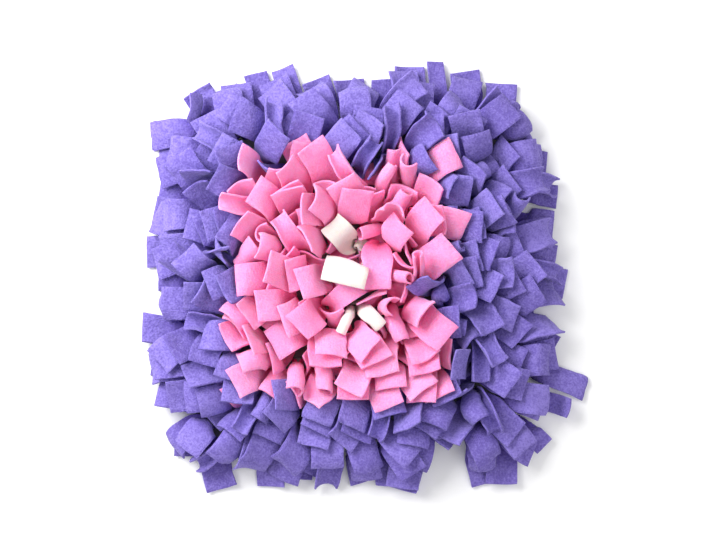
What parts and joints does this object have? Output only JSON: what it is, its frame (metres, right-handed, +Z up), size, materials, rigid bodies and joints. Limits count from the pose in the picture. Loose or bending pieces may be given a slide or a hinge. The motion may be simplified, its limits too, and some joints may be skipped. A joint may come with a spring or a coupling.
{
  "type": "snuffle mat",
  "caption": "Shaggy square snuffle mat: square-cut purple and pink fleece strips round a small white knot, tied through a perforated rubber base so they flop outward.",
  "frame": {"origin": "centre of the mat's underside, on the floor", "axes": "+Z up out of the pile, +Y towards the top edge of the mat as it is seen from above, +X to the right"},
  "size_m": [0.4442, 0.433, 0.0674],
  "materials": {
    "purple_fleece": "matte brushed pile",
    "pink_fleece": "matte brushed pile",
    "white_fleece": "matte brushed pile",
    "rubber_mat": "matte moulded"
  },
  "bodies": {
    "root": {"base_mat": "rubber_mat", "pink_row_03": "pink_fleece", "pink_row_04": "pink_fleece", "pink_row_05_left": "pink_fleece", "pink_row_05_right": "pink_fleece", "pink_row_06_left": "pink_fleece", "pink_row_06_right": "pink_fleece", "pink_row_07_left": "pink_fleece", "pink_row_07_right": "pink_fleece", "pink_row_08": "pink_fleece", "pink_row_09": "pink_fleece", "purple_row_01": "purple_fleece", "purple_row_02": "purple_fleece", "purple_row_03_left": "purple_fleece", "purple_row_03_right": "purple_fleece", "purple_row_04_left": "purple_fleece", "purple_row_04_right": "purple_fleece", "purple_row_05_left": "purple_fleece", "purple_row_05_right": "purple_fleece", "purple_row_06_left": "purple_fleece", "purple_row_06_right": "purple_fleece", "purple_row_07_left": "purple_fleece", "purple_row_07_right": "purple_fleece", "purple_row_08_left": "purple_fleece", "purple_row_08_right": "purple_fleece", "purple_row_09_left": "purple_fleece", "purple_row_09_right": "purple_fleece", "purple_row_10": "purple_fleece", "purple_row_11": "purple_fleece", "white_knot": "white_fleece"}
  },
  "joints": []
}
